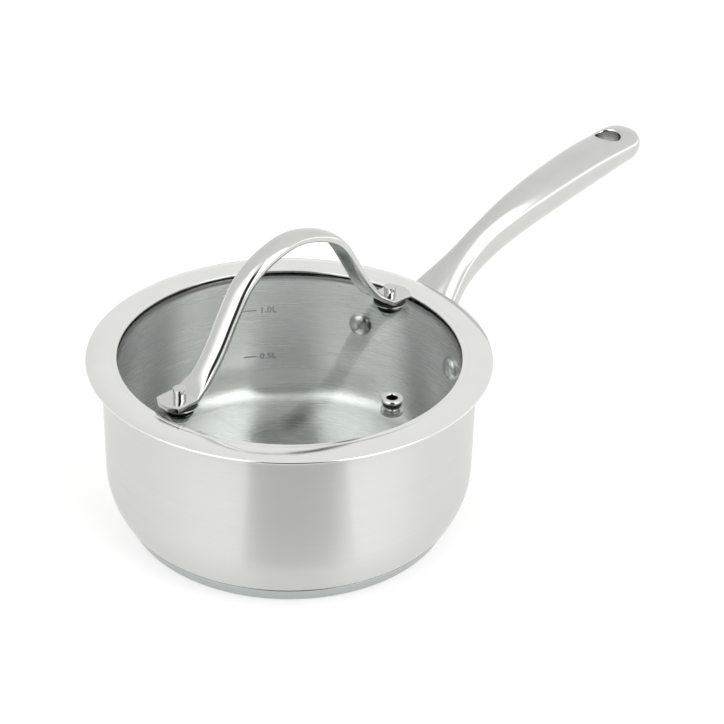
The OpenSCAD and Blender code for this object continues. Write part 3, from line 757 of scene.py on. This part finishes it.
def strap_section(x):
    """The strap's outline at x, as (y, height above its underside) points all round."""
    blend = smooth((abs(x) - POST_X + 17) / 12)
    half = 5.2 + 1.4 * smooth((abs(x) - POST_X + 16) / 13)
    rim = 1.1 + (FOOT_T - 0.4 - 1.1) * blend
    deep = 4.2 + (FOOT_T - 4.2) * blend - rim
    top = [(-half * math.cos(math.radians(180 * j / 24)),
            rim + deep * max(0.0, math.sin(math.radians(180 * j / 24))) ** 0.8) for j in range(25)]
    corner = 0.35
    right = [(half - corner + corner * math.cos(math.radians(a)), corner + corner * math.sin(math.radians(a)))
             for a in (0, -30, -60, -90)]
    left = [(-y, k) for y, k in right[::-1]]
    return top + right + [(half * 0.5, 0), (-half * 0.5, 0)] + left


STRAP_ROWS = 150
STRAP_POINTS = len(strap_section(0))


def strap_place(i, j):
    u = 0.5 - 0.5 * math.cos(math.pi * i / STRAP_ROWS)
    p = arch(u)
    d = (arch(min(1, u + 0.002)) - arch(max(0, u - 0.002))).normalized()
    y, k = strap_section(p.x)[j % STRAP_POINTS]
    at = p + Vector((-d.z, 0, d.x)) * k
    reach = POST_X + math.sqrt(FOOT_R ** 2 - y * y)
    return max(-reach, min(reach, at.x)), y, at.z


strap = lofted(STRAP_ROWS, STRAP_POINTS, strap_place)
ends = [e for e in strap.edges if e.is_boundary]
bmesh.ops.holes_fill(strap, edges=ends, sides=0)
bmesh.ops.recalc_face_normals(strap, faces=strap.faces)
ends = [e for e in strap.edges if e.calc_face_angle(0) > math.radians(50)
        and abs(e.verts[0].co.x) > (POST_X + 5.5) * MM]
bmesh.ops.bevel(strap, geom=ends, offset=0.25 * MM, segments=2, profile=0.5, affect="EDGES",
                material=-1, clamp_overlap=True)
piece("strap_handle", strap, bright, "lid", ["lid_strap"])

# --- Strap posts, rings, washers and screws -----------------------------------------------
# At each foot: a bright post with a flange head passes down through the strap, a silicone washer
# and a thin steel ring lie under the foot, and a screw with a second washer pulls up from below.
POST_R = 2.7
POST_H = 3.9
foot_top = FOOT_Z + FOOT_T
under_z = glass_top(POST_X + 5.5) - GLASS_T - WASHER_T
small_parts = {
    "post": (bright, "bright_steel", 0.35, [(0, foot_top - 0.1), (2.2, foot_top - 0.1), (2.2, foot_top),
                                           (POST_R, foot_top), (POST_R, foot_top + POST_H),
                                           (0, foot_top + POST_H)]),
    "ring": (bright, "bright_steel", 0.12, [(3.8, RING_Z - 0.6), (7.6, RING_Z - 0.6),
                                            (7.6, RING_Z), (3.8, RING_Z)]),
    "foot_washer": (silicone, "black_silicone", 0.2, [(2.2, RING_Z), (7.3, RING_Z),
                                                      (7.3, FOOT_Z), (2.2, FOOT_Z)]),
    "under_washer": (silicone, "black_silicone", 0.2, [(1.7, under_z), (5.5, under_z),
                                                       (5.5, under_z + WASHER_T), (1.7, under_z + WASHER_T)]),
    "screw": (bright, "bright_steel", 0.2, [(0, under_z - 1.2), (1.5, under_z - 1.2), (1.5, under_z - 2.8),
                                            (3.8, under_z - 2.8), (3.8, under_z - 0.8), (5, under_z - 0.8),
                                            (5, under_z), (1.7, under_z), (1.7, foot_top - 1),
                                            (0, foot_top - 1)])}
for where, s in (("front", -1), ("back", 1)):
    for part, (material, slot, round_mm, outline) in small_parts.items():
        shape = soften(spun(outline, 64), round_mm, 50)
        bmesh.ops.translate(shape, verts=shape.verts, vec=(s * POST_X * MM, 0, 0))
        piece("strap_" + part + "_" + where, shape, material, "lid", [part + "_" + where])

# --- Steam vent ---------------------------------------------------------------------------
# A turned steel eyelet with a rounded flange goes through the glass, with a black gasket under
# the flange and a thin nut below.
VENT_X = 59
VENT_R = 4.7
VENT_HOLE_R = 2.25
VENT_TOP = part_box("vent_eyelet")[1].z / MM
VENT_SEAT = glass_top(VENT_X - VENT_R) + 0.15
VENT_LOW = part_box("vent_eyelet")[0].z / MM
eyelet = ([(VENT_HOLE_R, VENT_LOW), (VENT_HOLE_R + 0.7, VENT_LOW), (VENT_HOLE_R + 0.7, VENT_SEAT)]
          + arc(VENT_R - 0.8, VENT_SEAT + 0.8, 0.8, -90, 0, 8)
          + arc(VENT_R - 0.9, VENT_TOP - 0.9, 0.9, 0, 90, 8)
          + arc(VENT_HOLE_R + 0.8, VENT_TOP - 0.8, 0.8, 90, 180, 8))
gasket = [(VENT_HOLE_R + 0.75, glass_top(VENT_X) - 3), (VENT_R - 0.9, glass_top(VENT_X) - 3),
          (VENT_R - 0.6, VENT_SEAT), (VENT_HOLE_R + 0.75, VENT_SEAT)]
NUT_H = 1.5
nut = [(VENT_HOLE_R + 0.72, VENT_LOW), (VENT_R, VENT_LOW), (VENT_R, VENT_LOW + NUT_H),
       (VENT_HOLE_R + 0.72, VENT_LOW + NUT_H)]
# The bore is left as drilled and never polished, so it is rough. Its near black colour is painted shade where
# the narrow bore falls dark.
bore_painted_shade = polished("steel_bore_painted_shade", "#2A2B2B", "#1E1F1F", 0.5, 2)
for name, outline, material, slot, node in (
        ("vent_flange", eyelet, bright, "bright_steel", "vent_eyelet"),
        ("vent_seal", gasket, silicone, "black_silicone", "vent_gasket"),
        ("vent_ring_nut", nut, bright, "bright_steel", "vent_nut")):
    shape = soften(spun(outline, 72), 0.15, 50, 2)
    # Faces inside the bore take the near black painted shade.
    in_bore = [f for f in shape.faces if f.calc_center_median().xy.length < (VENT_HOLE_R + 0.3) * MM
               and f.calc_center_median().z < (VENT_TOP - 0.45) * MM]
    for face in in_bore:
        face.material_index = 1
    bmesh.ops.translate(shape, verts=shape.verts, vec=(0, -VENT_X * MM, 0))
    piece(name, shape, material, "lid", [node]).data.materials.append(bore_painted_shade)
